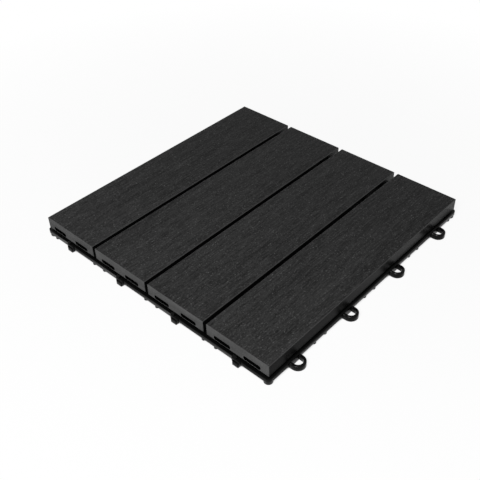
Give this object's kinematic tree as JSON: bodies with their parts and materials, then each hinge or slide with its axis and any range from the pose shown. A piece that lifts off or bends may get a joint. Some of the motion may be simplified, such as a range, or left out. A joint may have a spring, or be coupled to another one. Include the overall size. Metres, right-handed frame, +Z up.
{
  "type": "composite deck tile",
  "caption": "Square interlocking deck tile: brushed dark composite boards screwed onto a black moulded base grid with connector loops on two sides and pegs on the other two.",
  "frame": {"origin": "on the floor under the middle of the deck", "axes": "+Z up out of the deck, +Y along the boards, +X across them; loops on the +X and +Y sides, pegs on the -X and -Y sides"},
  "size_m": [0.3123, 0.3123, 0.022],
  "materials": {
    "base_plastic": "moulded black polypropylene, low sheen",
    "composite": "anthracite wood-plastic composite, brushed along the board",
    "screw_steel": "zinc-plated steel"
  },
  "bodies": {
    "root": {"base_grid": "base_plastic", "board_1": "composite", "board_2": "composite", "board_3": "composite", "board_4": "composite", "board_screws": "screw_steel"}
  },
  "joints": []
}
